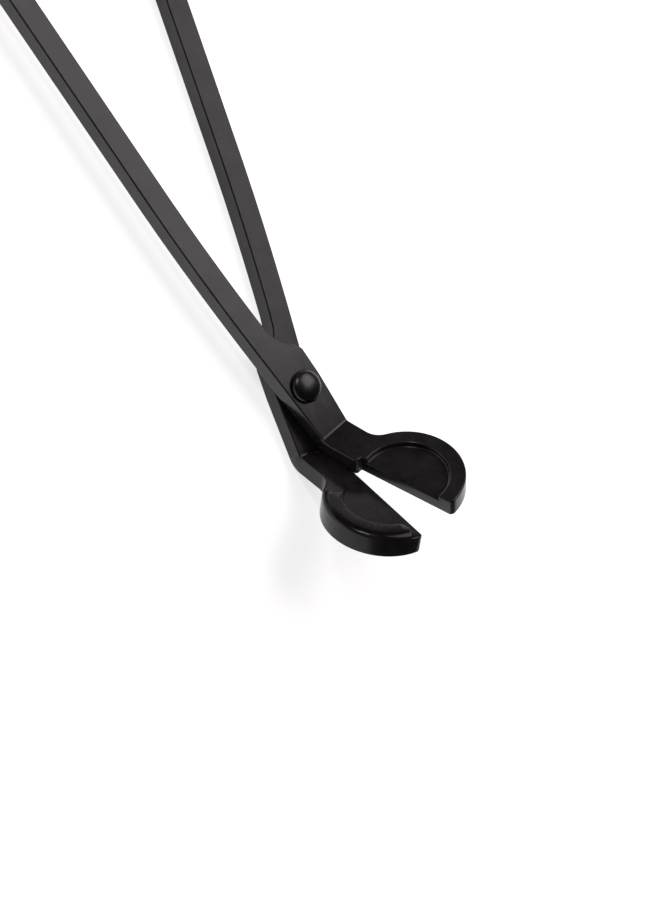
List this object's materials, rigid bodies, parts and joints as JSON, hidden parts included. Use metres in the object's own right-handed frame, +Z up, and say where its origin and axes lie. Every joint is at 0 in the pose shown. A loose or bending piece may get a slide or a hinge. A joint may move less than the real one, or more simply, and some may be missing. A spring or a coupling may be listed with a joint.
{
  "type": "wick trimmer",
  "caption": "Black steel wick trimmer: two crossed levers on a domed rivet, heads bent up to half-disc blades, the lower blade a rimmed tray, oval finger bows",
  "frame": {"origin": "on the pivot axis, at the flush under side of the rivet and the back lever", "axes": "+X from the pivot towards the blades, halfway between the open levers; +Y towards the front lever's blade; +Z up along the pivot axis towards the domed rivet head"},
  "size_m": [0.1791, 0.1026, 0.031],
  "materials": {
    "black_coated_steel": "matte",
    "black_rivet_steel": "satin"
  },
  "bodies": {
    "back": {"back_lever": "black_coated_steel", "pivot_rivet": "black_rivet_steel"},
    "front": {"front_lever": "black_coated_steel"}
  },
  "joints": [
    {"name": "pivot", "type": "hinge", "parent": "back", "child": "front", "pos_m": [0, 0, 0], "axis": [0, 0, 1], "range_deg": [-15.6, 25]}
  ]
}
